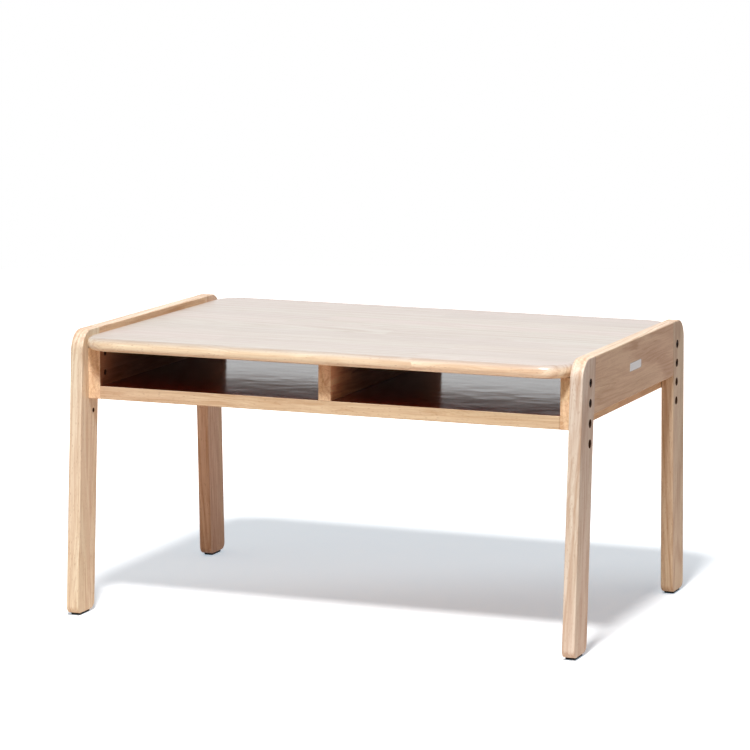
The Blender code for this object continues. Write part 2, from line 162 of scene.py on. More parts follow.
# Widths and lengths of staves, and a length past that of any board, for one that is a single piece
TOP_STAVES = (0.056, 0.62)
BOX_STAVES = (0.064, 0.55)
SHELF_STAVE = 0.062
WHOLE = 9.0

# Glue line of the box's upright boards, above their lower edge, and of the shelf, behind its middle
BOX_GLUE_LINE = 0.022
SHELF_GLUE_LINE = 0.012

# How thick a layer of staves is, the zigzag of the finger joints, and how their dark lines fade
STAVE_LAYER = 0.07
FINGER_WIDTH = 0.005
FINGER_SLOPE = 3.0
JOINT_LINE = (0.0002, 0.0006, 0.35, 0.0)

# How many staves a row is shifted by at most, and how far apart two staves are in the patterns
ROW_SHIFT = 7.0
STAVE_SHIFT = (9.0, 3.0, 5.0)

# Clear lacquers. The tinge is what lacquer and age make of the wood's colours, except where it is
# painted shade or light, as marked. Steep faces may have another, and so may the divider near the box's
# mouth
SATIN = {"roughness": 0.42, "specular": 0.28, "tinge": (0.97, 0.93, 0.93)}
# Painted shade: the rail's upright faces get a darker, warmer tinge than its top face
RAIL = {**SATIN, "steep": (0.835, 0.69, 0.565)}
THIN = {"roughness": 0.60, "specular": 0.10, "tinge": (1.10, 0.97, 0.87)}
# Painted shade: the faces inside the box's bays are tinged dark brown, where shade falls
INSIDE_SHADE = {**THIN, "tinge": (0.50, 0.30, 0.22)}
# The divider's faces: the same painted shade, with painted light near the box's open front
DIVIDER_SHADE_AND_LIGHT = {**INSIDE_SHADE, "mouth": (1.25, 0.95, 0.75)}
# Painted shade: the top's underside is tinged darker
UNDER_SHADE = {**THIN, "tinge": (0.66, 0.42, 0.30)}
EDGE = {"roughness": 0.52, "specular": 0.12, "tinge": (0.885, 0.81, 0.70)}
# Glossy, pooled lacquer with painted shade: the shelf's upper face in the bays is tinged near black
FLOWED_SHADED = {"roughness": 0.12, "specular": 0.60, "swell": 0.0005, "tinge": (0.24, 0.035, 0.02)}
# Painted light: the top's nose gets a lighter, warmer tinge than its cooler, darker upper face
FULL = {
    "roughness": 0.33,
    "specular": 0.50,
    "coat": 1.0,
    "tinge": (0.60, 0.612, 0.685),
    "steep": (1.12, 1.08, 1.00),
}

# Tinges of each leg's sides, apart from its top face's: the right front and rear legs' sides are darker
LEG_TINGES = {
    ("left", "front"): (0.99, 1.01, 0.98),
    ("left", "rear"): (0.92, 0.82, 0.77),
    ("right", "front"): (0.81, 0.82, 0.895),
    ("right", "rear"): (0.84, 0.79, 0.74),
}

# The box's open front, and how far in from it the divider's inside faces get painted light
BOX_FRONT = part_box("divider_board")[0].y
MOUTH_LIGHT_REACH = 0.16

# Patterns of the other finishes, in cycles a metre
BURRS = 3 * (700.0,)
FLECKS = 3 * (900.0,)
PATCHES = 3 * (420.0,)
CLOUDS = 3 * (260.0,)
TUFTS = 3 * (1500.0,)
STROKES = (3000.0, 40.0, 3000.0)
FUZZ = 2200.0

# Where the bright floor has faded out, as a multiple of its radius
POOL_FADE = 1.5


def number(name, description, default, **kind):
    return FloatProperty(name=name, description=description, default=default, **kind)


def length(name, description, default):
    return number(name, description, default, min=0.0, unit="LENGTH")


def degrees(name, description, default):
    return number(name, description, math.radians(default), subtype="ANGLE")


def vector(name, description, default, **kind):
    return FloatVectorProperty(name=name, description=description, default=default, **kind)


def colour(name, description, default):
    return vector(name, description, default, subtype="COLOR", min=0.0, max=1.0)


class KidsTableWoodwork(PropertyGroup):
    """Sizes of the boards that their solids' boxes don't give."""

    leg_width: length("Leg width", "Width of a leg's broad face", 0.060)
    leg_splay: degrees("Leg splay", "How far a leg leans outwards", 3.0)
    frame_corner: length("Frame corner", "Radius of a side frame's upper corners", 0.030)
    foot_corner: length("Foot corner", "Radius of a foot's corners", 0.012)
    frame_ease: length("Frame edge", "Radius of the side frames' eased edges", 0.002)
    top_corner: length("Top corner", "Radius of the table top's corners", 0.045)
    nose_flat: length("Nose flat", "Flat in the middle of the nose", 0.001)
    board_ease: length("Board edge", "Radius of the box boards' eased edges", 0.001)
    hole_ease: length("Hole edge", "Width of a drilled hole's rim", 0.0004)
    inner_ease: length("Inner hole edge", "Width of a hole's rim inside the box", 0.0011)
    holes_in_leg: IntProperty(name="Holes in a leg", description="Bolt holes in a leg", default=4, min=2)
    mouth_width: length("Counterbore", "Diameter of a bolt hole's wide mouth", 0.0125)
    mouth_depth: length("Counterbore depth", "Depth of a bolt hole's wide mouth", 0.007)
    bore_width: length("Bore", "Diameter of a bolt hole", 0.0066)


class KidsTableHardware(PropertyGroup):
    """Sizes of the bolts, pads and plate that their solids' boxes don't give."""

    shank_width: length("Shank", "Diameter over the thread", 0.006)
    thread_pitch: length("Thread pitch", "Distance from turn to turn", 0.001)
    thread_depth: length("Thread depth", "Height of the thread", 0.0005)
    head_height: length("Head height", "Height of a bolt's head", 0.006)
    head_ease: length("Head edge", "Radius of the head's upper edge", 0.0006)
    knurl_depth: length("Knurl depth", "Depth of the grooves round the head", 0.00014)
    socket_width: length("Socket", "Socket's width across its flats", 0.005)
    socket_depth: length("Socket depth", "Depth of the socket", 0.003)
    pad_corner: length("Pad corner", "Radius of a foot pad's corners", 0.003)
    pad_ease: length("Pad edge", "Radius of a foot pad's edges", 0.0007)
    pad_fuzz: length("Pad fuzz", "Unevenness of a foot pad's sides", 0.00018)
    plate_corner: length("Plate corner", "Radius of the plate's corners", 0.0015)
    plate_ease: length("Plate edge", "Radius of the plate's edge", 0.0002)


class KidsTableFinish(PropertyGroup):
    """Colours of the wood and of the other finishes."""

    pale: colour("Pale wood", "Wood between its darker rings", (0.90, 0.82, 0.70))
    tan: colour("Tan wood", "Darker rings and fibres", (0.64, 0.475, 0.345))
    pore: colour("Pores", "Open pores, seen as short dark lines", (0.40, 0.24, 0.14))
    rosy: colour("Rosy tint", "Tint of the rosiest staves", (1.0, 0.93, 0.90))
    sandy: colour("Sandy tint", "Tint of the sandiest staves", (0.97, 1.0, 0.90))
    end_grain: colour("End grain", "Tint of cut ends", (0.96, 0.92, 0.87))
    beech: colour("Dowel beech", "Raw beech of the dowels", (0.70, 0.48, 0.30))
    # Painted shade: the drilled holes' walls are near black, as shade falls in them
    shaded_bore: colour("Drilled holes", "Dark end grain in the drilled holes", (0.060, 0.032, 0.018))
    blacking: colour("Blacking", "Black oxide on the bolts", (0.009, 0.006, 0.005))
    plating: colour("Plating", "Zinc plating on the inserts", (0.62, 0.57, 0.44))
    felt: colour("Felt", "Black felt of the foot pads", (0.005, 0.005, 0.005))
    plate: colour("Plate", "Satin metal of the plate", (0.47, 0.455, 0.455))


class KidsTableStage(PropertyGroup):
    """The studio: floor, lamp, fill and camera."""

    lamp_level: number("Lamp level", "Light on a face square to it", 1.07)
    lamp_from: vector("Lamp from", "Where the lamp stands", (0.125, -0.645, 1.0), subtype="DIRECTION")
    lamp_distance: length("Lamp distance", "Distance from the table", 5.0)
    lamp_width: length("Lamp width", "Diameter of the lamp", 0.80)
    fill_level: number("Fill level", "Soft light from overhead", 0.42)
    fill_rise: vector("Fill rise", "Sines of the heights where it starts and is full", (-0.05, 0.45), size=2)
    fill_colour: colour("Fill colour", "Colour of the soft light", (1.0, 0.74, 0.58))
    floor_seen: colour("Floor", "Floor as it is seen", (1.0, 1.0, 1.0))
    floor_colour: colour("Floor bounce", "Floor as it throws light back", (0.80, 0.66, 0.57))
    floor_edge: colour("Floor edge", "The same, further off", (0.12, 0.11, 0.10))
    floor_glow: colour("Floor white", "What lifts it to white", (0.29, 0.43, 0.53))
    # Painted shade on the floor: floor_dusk is the smaller lift under the table, so the shadow there is
    # darker
    floor_dusk: colour("Floor dusk", "What lifts its dusk", (0.11, 0.23, 0.32))
    dusk_reach: vector("Dusk", "Where it starts to fade and ends", (-0.15, 0.35), size=2, unit="LENGTH")
    dusk_way: vector("Dusk way", "Which way the dusk fades", (-0.60, 1.0, 0.0), subtype="DIRECTION")
    pool_radius: length("Pool radius", "Radius of the bright floor", 0.9)
    floor_radius: length("Floor radius", "Radius of the whole floor", 4.5)
    lens: number("Lens", "Focal length in millimetres", 170.375, min=1.0)
    camera_place: vector("Camera", "Its place", (1.94761, -5.10502, 1.17091), subtype="TRANSLATION")
    camera_heading: degrees("Heading", "Turn to the left of +Y", 21.0051)
    camera_dip: degrees("Dip", "Tilt below the horizon", 8.4443)
    camera_roll: degrees("Roll", "Turn about the line of sight", 0.3604)


def middle_of(low, high):
    return (low + high) / 2


def frame_edge_y(woodwork, z):
    """Distance from the middle to a side frame's outer edge, at a height."""
    low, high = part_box("side_rail_right")
    joint = high.y + SEAT_GAP + (low.z - z) * math.tan(woodwork.leg_splay)
    return joint + woodwork.leg_width


def bolt_node(side, end, level):
    return f"height_bolt_{side}_{end}_{level}"


def outer_middle(node, side):
    """Middle of a node's face that looks out to its side of the table."""
    low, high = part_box(node)
    centre = middle_of(low, high)
    return Vector((high.x if SIDES[side] > 0 else low.x, centre.y, centre.z))


def hole_places(woodwork, side, end):
    """Mouths of a leg's bolt holes on its outer face, from the uppermost down."""
    first, second = (outer_middle(bolt_node(side, end, level), side) for level in LEVELS)
    face_x = outer_middle(f"leg_{side}_{end}", side).x
    places = [first + index * (second - first) for index in range(woodwork.holes_in_leg)]
    return [Vector((face_x, place.y, place.z)) for place in places]


def block(low, high):
    """A box between two corners."""
    bm = bmesh.new()
    bmesh.ops.create_cube(bm, size=1.0, matrix=Matrix.LocRotScale(middle_of(low, high), None, high - low))
    return bm


def round_edges(bm, edges, radius, segments):
    how = {"offset_type": "OFFSET", "affect": "EDGES", "profile": 0.5, "material": -1}
    bmesh.ops.bevel(bm, geom=edges, offset=radius, segments=segments, **how)


def edges_along(bm, axis):
    """Edges that run along one axis: 0 is X, 1 is Y, 2 is Z."""
    found = []
    for edge in bm.edges:
        run = edge.verts[0].co - edge.verts[1].co
        if abs(run[axis]) > PARALLEL * run.length:
            found.append(edge)
    return found


def edge_middle(edge):
    return middle_of(edge.verts[0].co, edge.verts[1].co)


def turn(bm, profile, place, along, steps=ROUND_STEPS):
    """Adds a solid turned about an axis, from (radius, distance along) points that end on it."""
    out = along.orthogonal().normalized()
    points = [bm.verts.new(place + along * run + out * radius) for radius, run in profile]
    edges = [bm.edges.new(pair) for pair in zip(points, points[1:])]
    full = {"angle": 2 * math.pi, "steps": steps, "use_merge": True}
    bmesh.ops.spin(bm, geom=points + edges, cent=place, axis=along, **full)
    bmesh.ops.remove_doubles(bm, verts=bm.verts, dist=MERGE_DISTANCE)
    bmesh.ops.recalc_face_normals(bm, faces=bm.faces)


def stepped_bore(bm, mouth, inwards, wide, narrow, ease):
    """Adds a cutter for a wide hole with a narrower one through its floor, both with eased rims.
    Wide and narrow are each a diameter, and a depth from the mouth."""
    (mouth_width, floor), (bore_width, depth) = wide, narrow
    profile = [
        (0, -CUT_PAST),
        (mouth_width / 2 + ease + CUT_PAST, -CUT_PAST),
        (mouth_width / 2, ease),
        (mouth_width / 2, floor),
        (bore_width / 2, floor),
        (bore_width / 2, depth - ease),
        (bore_width / 2 + ease + CUT_PAST, depth + CUT_PAST),
        (0, depth + CUT_PAST),
    ]
    before = set(bm.faces)
    turn(bm, profile, mouth, inwards)
    for face in set(bm.faces) - before:
        face.material_index = HOLE_WALL


def dowel_holes(*families):
    """Cutters for every dowel of the families: its own solid, a little larger all round."""
    bm = bmesh.new()
    for name, node in frame["nodes"].items():
        if not name.startswith(families):
            continue
        hole = bmesh.new()
        hole.from_mesh(node.data)
        bmesh.ops.remove_doubles(hole, verts=hole.verts, dist=MERGE_DISTANCE)
        low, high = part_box(name)
        grown = 1 + 2 * SEAT_GAP / min(high - low)
        centre = Matrix.Translation(middle_of(low, high))
        bmesh.ops.scale(hole, vec=(grown,) * 3, space=centre.inverted(), verts=hole.verts)
        join(bm, hole)
    return bm


def join(bm, other):
    """Adds a second bmesh to the first and frees the second."""
    mesh = bpy.data.meshes.new("joined")
    other.to_mesh(mesh)
    other.free()
    bm.from_mesh(mesh)
    bpy.data.meshes.remove(mesh)


def new_object(name, bm):
    mesh = bpy.data.meshes.new(name)
    bm.to_mesh(mesh)
    bm.free()
    obj = bpy.data.objects.new(name, mesh)
    bpy.context.scene.collection.objects.link(obj)
    return obj


def carve(piece, cutters):
    """Takes the cutters out of a piece for good."""
    tool = new_object("drill", cutters)
    boolean = piece.modifiers.new("holes", "BOOLEAN")
    boolean.operation = "DIFFERENCE"
    boolean.object = tool
    graph = bpy.context.evaluated_depsgraph_get()
    solid = piece.data
    piece.data = bpy.data.meshes.new_from_object(piece.evaluated_get(graph))
    piece.modifiers.clear()
    bpy.data.meshes.remove(solid)
    drill = tool.data
    bpy.data.objects.remove(tool)
    bpy.data.meshes.remove(drill)
    if not piece.data.polygons:
        raise RuntimeError(f"{piece.name} lost all its faces when it was drilled")


def mark_inner(piece, *ways):
    """Gives a board's faces that look one of the ways its material for the inside, with painted shade."""
    for face in piece.data.polygons:
        if face.material_index != HOLE_WALL and max(face.normal.dot(way) for way in ways) > PARALLEL:
            face.material_index = INNER_FACE


def finish(piece, node, slot, *materials):
    """Shades a piece, gives it its materials, and puts it on its node's body in the node's place."""
    mesh = piece.data
    mesh.shade_smooth()
    mesh.set_sharp_from_angle(angle=SHARP_ANGLE)
    even = piece.modifiers.new("even shading", "WEIGHTED_NORMAL")
    even.keep_sharp = True
    slots = [face.material_index for face in mesh.polygons]
    mesh.materials.clear()
    for material in materials:
        mesh.materials.append(material)
    mesh.polygons.foreach_set("material_index", slots)
    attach(piece, frame["nodes"][node]["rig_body"])
    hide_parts(node)


class Nodes:
    """A short way to write a node tree: its methods take plain values or sockets."""

    def __init__(self, tree):
        self.tree = tree

    def add(self, kind, inputs=None, **settings):
        node = self.tree.nodes.new("ShaderNode" + kind)
        for name, value in settings.items():
            setattr(node, name, value)
        self.feed(node, inputs or {})
        return node

    def feed(self, node, inputs):
        for key, value in inputs.items():
            if isinstance(value, bpy.types.NodeSocket):
                self.tree.links.new(value, node.inputs[key])
            else:
                node.inputs[key].default_value = value

    def math(self, operation, *values, clamp=False):
        node = self.add("Math", dict(enumerate(values)), operation=operation, use_clamp=clamp)
        return node.outputs[0]

    def vector(self, operation, *values):
        node = self.add("VectorMath", dict(enumerate(values)), operation=operation)
        return node.outputs["Value" if operation in ("LENGTH", "DOT_PRODUCT") else "Vector"]

    def noise(self, place, cycles, detail=2.0, roughness=0.5):
        """Noise with its cycles a metre along X, Y and Z of the place."""
        place = self.vector("MULTIPLY", place, cycles)
        inputs = {"Vector": place, "Scale": 1.0, "Detail": detail, "Roughness": roughness}
        return self.add("TexNoise", inputs).outputs[0]

    def split(self, value):
        """The three numbers of a vector or a colour."""
        return self.add("SeparateXYZ", {0: value}).outputs

    def chance(self, key):
        return self.add("TexWhiteNoise", {"Vector": key}, noise_dimensions="3D")

    def bump(self, height, strength, distance, normal=None):
        inputs = {"Height": height, "Strength": strength, "Distance": distance}
        if normal is not None:
            inputs["Normal"] = normal
        return self.add("Bump", inputs).outputs[0]

    def ranged(self, value, low, high, to_low=0.0, to_high=1.0, smooth=False):
        kind = "SMOOTHSTEP" if smooth else "LINEAR"
        inputs = {0: value, 1: low, 2: high, 3: to_low, 4: to_high}
        return self.add("MapRange", inputs, interpolation_type=kind).outputs[0]

    def mix(self, factor, a, b, blend="MIX"):
        node = self.add("Mix", {0: factor, 6: opaque(a), 7: opaque(b)}, data_type="RGBA", blend_type=blend)
        return node.outputs[2]

    def object_place(self):
        return self.add("TexCoord").outputs["Object"]


def opaque(value):
    """A colour of three numbers with its fourth; a socket stays as it is."""
    return value if isinstance(value, bpy.types.NodeSocket) else (*value, 1.0)


def shade(colour_value, factors):
    return [channel * factor for channel, factor in zip(colour_value, factors)]


def new_material(name, build, *details):
    """A material by its name, built the first time that a piece asks for it."""
    if name in bpy.data.materials:
        return bpy.data.materials[name]
    material = bpy.data.materials.new(name)
    material.use_nodes = True
    shader = material.node_tree.nodes["Principled BSDF"]
    build(Nodes(material.node_tree), shader, *details)
    return material


def stave_pattern(nodes, place, width, stave_length):
    """A chance vector for each stave, and the fine dark lines where staves meet end to end."""
    at = nodes.split(place)
    row = nodes.math("FLOOR", nodes.math("DIVIDE", at[1], width))
    layer = nodes.math("FLOOR", nodes.math("DIVIDE", at[2], STAVE_LAYER))
    row_key = nodes.add("CombineXYZ", {0: row, 1: layer}).outputs[0]
    row_chance = nodes.chance(row_key).outputs["Value"]
    finger = nodes.math("MULTIPLY", nodes.math("PINGPONG", at[1], FINGER_WIDTH / 2), FINGER_SLOPE)
    along = nodes.math("DIVIDE", nodes.math("ADD", at[0], finger), stave_length)
    along = nodes.math("ADD", along, nodes.math("MULTIPLY", row_chance, ROW_SHIFT))
    stave = nodes.math("FLOOR", along)
    key = nodes.add("CombineXYZ", {0: row, 1: stave, 2: layer}).outputs[0]
    from_end = nodes.math("MULTIPLY", nodes.math("SUBTRACT", along, stave), stave_length)
    return nodes.chance(key).outputs["Color"], nodes.ranged(from_end, *JOINT_LINE)


def ring_pattern(nodes, place, chances, wave):
    """Rings round a heart that lies below the stave, to one side, and aslant to it."""
    at = nodes.split(place)
    aslant = nodes.math("MULTIPLY", at[0], nodes.ranged(chances[2], 0.0, 1.0, *HEART_ASLANT))
    beside = nodes.math("ADD", at[1], nodes.ranged(chances[0], 0.0, 1.0, *HEART_BESIDE))
    below = nodes.math("ADD", at[2], nodes.ranged(chances[1], 0.0, 1.0, *HEART_BELOW))
    across = nodes.add("CombineXYZ", {1: beside, 2: nodes.math("ADD", below, aslant)}).outputs[0]
    radius = nodes.math("ADD", nodes.vector("LENGTH", across), nodes.math("MULTIPLY", wave, RING_WAVER))
    inputs = {"W": nodes.math("MULTIPLY", radius, RINGS), "Scale": 1.0, "Detail": 1.0}
    return nodes.add("TexNoise", inputs, noise_dimensions="1D").outputs[0]


def pore_pattern(nodes, place):
    """Short dark dashes along the grain, some of them faint."""
    inputs = {"Vector": nodes.vector("MULTIPLY", place, PORES), "Scale": 1.0}
    cells = nodes.add("TexVoronoi", inputs).outputs
    pores = nodes.ranged(cells["Distance"], *PORE_RIM, smooth=True)
    return nodes.math("MULTIPLY", pores, nodes.ranged(nodes.split(cells["Color"])[0], *FAINT_PORES))


def board_tinge(nodes, facing, lacquer):
    """The lacquer's tinge, with those of steep faces and of the box's mouth where it has them: painted light
    on the top's nose and near the box's mouth, painted shade on the rail's sides.
    """
    tinge = lacquer["tinge"]
    # Painted light and shade by facing: a steep face's tinge differs from an upward face's
    if "steep" in lacquer:
        upwards = nodes.ranged(nodes.split(facing)[2], 0.0, 1.0, smooth=True)
        tinge = nodes.mix(upwards, lacquer["steep"], tinge)
    # Painted light on the divider's inside faces near the box's open front, fading inwards
    if "mouth" in lacquer:
        depth = nodes.math("SUBTRACT", nodes.split(nodes.object_place())[1], BOX_FRONT)
        inwards = nodes.ranged(depth, 0.0, MOUTH_LIGHT_REACH, smooth=True)
        tinge = nodes.mix(inwards, lacquer["mouth"], tinge)
    return tinge


def lacquered_wood(nodes, shader, looks, staves, lacquer):
    """Staves of wood under clear lacquer."""
    to_grain = Matrix((staves.grain, staves.sideways, staves.grain.cross(staves.sideways)))
    moved = -(to_grain @ staves.joint)
    turned = {"Vector": nodes.object_place(), "Location": moved, "Rotation": to_grain.to_euler()}
    place = nodes.add("Mapping", turned).outputs[0]

    chance, joint_line = stave_pattern(nodes, place, staves.width, staves.length)
    chances = nodes.split(chance)
    shifted = nodes.vector("ADD", place, nodes.vector("MULTIPLY", chance, STAVE_SHIFT))
    tone = nodes.noise(shifted, TONE)
    wave = nodes.noise(shifted, WAVE_OF_RINGS, detail=3.0)
    lean = nodes.math("SUBTRACT", chances[2], 0.5)
    lean = nodes.math("MULTIPLY", nodes.math("MULTIPLY", nodes.split(place)[0], lean), SLANT)
    drift = nodes.math("ADD", lean, nodes.math("MULTIPLY", wave, MEANDER))
    shifted = nodes.vector("ADD", shifted, nodes.add("CombineXYZ", {1: drift, 2: drift}).outputs[0])
    streaks = nodes.noise(shifted, STREAKS, detail=3.0, roughness=0.6)
    fibres = nodes.noise(shifted, FIBRES, detail=2.0)
    rings = ring_pattern(nodes, place, chances, wave)
    pores = pore_pattern(nodes, shifted)

    figure = nodes.ranged(rings, *TAN_OF_RINGS)
    figure = nodes.math("ADD", figure, nodes.ranged(streaks, *TAN_OF_STREAKS))
    figure = nodes.math("ADD", figure, nodes.ranged(fibres, *TAN_OF_FIBRES), clamp=True)
    wood = nodes.mix(figure, looks.pale, looks.tan)
    warmth = nodes.ranged(tone, *SANDY_BY_TONE)
    warmth = nodes.math("ADD", warmth, nodes.math("MULTIPLY", chances[0], SANDY_BY_STAVE))
    wood = nodes.mix(1.0, wood, nodes.mix(warmth, looks.rosy, looks.sandy), blend="MULTIPLY")
    facing = nodes.add("TexCoord").outputs["Normal"]
    # The tinge carries painted light and shade on some boards, by facing and by depth in the box
    wood = nodes.mix(1.0, wood, board_tinge(nodes, facing, lacquer), blend="MULTIPLY")
    level = nodes.ranged(chances[1], 0.0, 1.0, *STAVE_LEVELS)
    wood = nodes.add("VectorMath", {0: wood, "Scale": level}, operation="SCALE").outputs[0]
    dark = nodes.math("MAXIMUM", nodes.math("MULTIPLY", pores, PORE_DARKNESS), joint_line)
    wood = nodes.mix(dark, wood, looks.pore)

    on_end = nodes.math("ABSOLUTE", nodes.vector("DOT_PRODUCT", facing, staves.grain))
    cut = nodes.mix(nodes.ranged(on_end, *END_GRAIN, smooth=True), (1.0, 1.0, 1.0), looks.end_grain)
    relief = nodes.math("SUBTRACT", nodes.math("MULTIPLY", fibres, FIBRE_RELIEF), pores)
    relief = nodes.bump(relief, strength=0.5, distance=PORE_DEPTH)
    if "swell" in lacquer:
        swells = nodes.noise(place, SWELLS, detail=1.0)
        relief = nodes.bump(swells, strength=1.0, distance=lacquer["swell"], normal=relief)
    rough = lacquer["roughness"]
    finished = {
        "Base Color": nodes.mix(1.0, wood, cut, blend="MULTIPLY"),
        "Roughness": nodes.ranged(figure, 0.0, 1.0, rough, rough + DRY_TAN),
        "Specular IOR Level": lacquer["specular"],
        "Coat Weight": lacquer.get("coat", 0.0),
        "Coat Roughness": rough,
        "Normal": relief,
    }
    nodes.feed(shader, finished)


def mottled(nodes, shader, pattern, low, high, roughness, span=(0.3, 0.7)):
    """Gives a shader a colour and a roughness that follow a pattern."""
    rough = nodes.ranged(pattern, *span, *roughness)
    nodes.feed(shader, {"Base Color": nodes.mix(pattern, low, high), "Roughness": rough})


def shaded_hole_wood(nodes, shader, looks):
    """Walls of the drilled holes: end grain darkened by the lacquer that it drank, and painted shade that
    makes them near black.
    """
    burr = nodes.noise(nodes.object_place(), BURRS, detail=3.0)
    pale = shade(looks.shaded_bore, (1.9, 1.8, 1.7))
    mottled(nodes, shader, burr, looks.shaded_bore, pale, roughness=(0.7, 0.9), span=(0.0, 1.0))
    nodes.feed(shader, {"Specular IOR Level": 0.2})


def raw_beech(nodes, shader, looks):
    """Dowels: unfinished beech with fine flecks."""
    flecks = nodes.noise(nodes.object_place(), FLECKS, detail=3.0)
    dark = shade(looks.beech, (0.78, 0.72, 0.66))
    mottled(nodes, shader, flecks, dark, looks.beech, roughness=(0.60, 0.80), span=(0.0, 1.0))


def black_oxide(nodes, shader, looks):
    """Bolts: blackened steel, a little patchy and dull with old oil."""
    patches = nodes.noise(nodes.object_place(), PATCHES, detail=4.0)
    worn = shade(looks.blacking, (3.0, 2.8, 2.6))
    mottled(nodes, shader, patches, looks.blacking, worn, roughness=(0.50, 0.65))
    nodes.feed(shader, {"Specular IOR Level": 0.04})


def zinc_plating(nodes, shader, looks):
    """Threaded inserts: yellowish plating with soft clouds."""
    clouds = nodes.noise(nodes.object_place(), CLOUDS, detail=3.0)
    cool = shade(looks.plating, (0.86, 0.92, 1.08))
    mottled(nodes, shader, clouds, looks.plating, cool, roughness=(0.26, 0.42))
    nodes.feed(shader, {"Metallic": 1.0})


def pressed_felt(nodes, shader, looks):
    """Foot pads: black felt with pale stray fibres."""
    tufts = nodes.noise(nodes.object_place(), TUFTS, detail=4.0)
    lint = shade(looks.felt, (4.0, 4.0, 4.0))
    black = nodes.mix(tufts, looks.felt, lint)
    relief = nodes.bump(tufts, strength=0.8, distance=0.0002)
    nodes.feed(shader, {"Base Color": black, "Roughness": 0.95, "Sheen Weight": 0.10, "Normal": relief})


def satin_plate(nodes, shader, looks):
    """The bare plate: metal brushed along its length."""
    strokes = nodes.noise(nodes.object_place(), STROKES, detail=3.0)
    dim = shade(looks.plate, (0.90, 0.90, 0.91))
    mottled(nodes, shader, strokes, dim, looks.plate, roughness=(0.30, 0.42))
    relief = nodes.bump(strokes, strength=0.3, distance=0.00003)
    nodes.feed(shader, {"Metallic": 0.85, "Normal": relief})


def wood_material(name, looks, staves, lacquer):
    return new_material(name, lacquered_wood, looks, staves, lacquer)


class KIDS_TABLE_OT_table_top(Operator):
    """Models the table top: round corners, and a round nose on every side"""

    bl_idname = "kids_table.table_top"
    bl_label = "Table top"

    def execute(self, context):
        woodwork = context.scene.kids_table_woodwork
        looks = context.scene.kids_table_finish
        low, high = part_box("table_top")
        bm = block(low, high)
        round_edges(bm, edges_along(bm, 2), woodwork.top_corner, segments=28)
        upright = set(edges_along(bm, 2))
        rim = [edge for edge in bm.edges if edge not in upright]
        round_edges(bm, rim, (high.z - low.z - woodwork.nose_flat) / 2, segments=12)
        board = new_object("table_top_board", bm)
        carve(board, dowel_holes("top_dowel_", "divider_dowel_upper_"))
        mark_inner(board, -AXIS_Z)
        staves = Staves(AXIS_X, AXIS_Y, Vector((0, 0, low.z)), *TOP_STAVES)
        bored = new_material("bored wood", shaded_hole_wood, looks)
        # Painted shade on the top's underside
        below = wood_material("top wood underneath", looks, staves, UNDER_SHADE)
        above = wood_material("top wood", looks, staves, FULL)
        finish(board, "table_top", "top_wood", above, bored, below)
        return {"FINISHED"}


class KIDS_TABLE_OT_legs(Operator):
    """Models the four splayed legs with their bolt holes and dowel holes"""

    bl_idname = "kids_table.legs"
    bl_label = "Legs"

    def execute(self, context):
        for side, end in CORNERS:
            self.leg(context, side, end)
        return {"FINISHED"}

    def leg(self, context, side, end):
        woodwork = context.scene.kids_table_woodwork
        looks = context.scene.kids_table_finish
        node = f"leg_{side}_{end}"
        post = new_object(node + "_post", self.shape(woodwork, node, ENDS[end]))
        cutters = bmesh.new()
        low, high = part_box(node)
        inwards = -SIDES[side] * AXIS_X
        wide = (woodwork.mouth_width, woodwork.mouth_depth)
        narrow = (woodwork.bore_width, high.x - low.x)
        for mouth in hole_places(woodwork, side, end):
            stepped_bore(cutters, mouth, inwards, wide, narrow, woodwork.hole_ease)
        join(cutters, dowel_holes(f"rail_dowel_{side}_{end}_"))
        carve(post, cutters)

        splay = woodwork.leg_splay
        grain = Vector((0, -ENDS[end] * math.sin(splay), math.cos(splay)))
        across = Vector((0, math.cos(splay), ENDS[end] * math.sin(splay)))
        width = woodwork.leg_width
        beside = Vector((0, ENDS[end] * (frame_edge_y(woodwork, 0) + width / 2), 0))
        staves = Staves(grain, across, beside, 2 * width, WHOLE)
        lacquer = {**SATIN, "steep": LEG_TINGES[side, end]}
        wood = wood_material(f"leg wood {side} {end}", looks, staves, lacquer)
        finish(post, node, "frame_wood", wood, new_material("bored wood", shaded_hole_wood, looks))

    def shape(self, woodwork, node, end):
        """One leg's outline, sheared to its splay, with round corners and eased edges."""
        low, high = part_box(node)
        rail_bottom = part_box("side_rail_right")[0].z
        half = woodwork.leg_width / 2
        bm = block(Vector((low.x, -half, low.z)), Vector((high.x, half, high.z)))
        for vert in bm.verts:
            vert.co.y += end * (frame_edge_y(woodwork, vert.co.z) - half)

        def offset(edge):
            point = edge_middle(edge)
            return end * point.y - frame_edge_y(woodwork, point.z) + half

        corners = edges_along(bm, 0)
        shoulder = [e for e in corners if edge_middle(e).z > rail_bottom and offset(e) > 0]
        foot = [e for e in corners if edge_middle(e).z < rail_bottom]
        round_edges(bm, shoulder, woodwork.frame_corner, segments=24)
        round_edges(bm, foot, woodwork.foot_corner, segments=14)

        geometry = bm.verts[:] + bm.edges[:] + bm.faces[:]
        bmesh.ops.bisect_plane(bm, geom=geometry, plane_co=(0, 0, rail_bottom), plane_no=AXIS_Z)

        def on_open_rim(edge):
            broad = [abs(face.normal.x) > PARALLEL for face in edge.link_faces]
            at_joint = edge_middle(edge).z > rail_bottom and offset(edge) < CUT_PAST - half
            return broad.count(True) == 1 and len(broad) == 2 and not at_joint

        round_edges(bm, [e for e in bm.edges if on_open_rim(e)], woodwork.frame_ease, segments=5)
        return bm


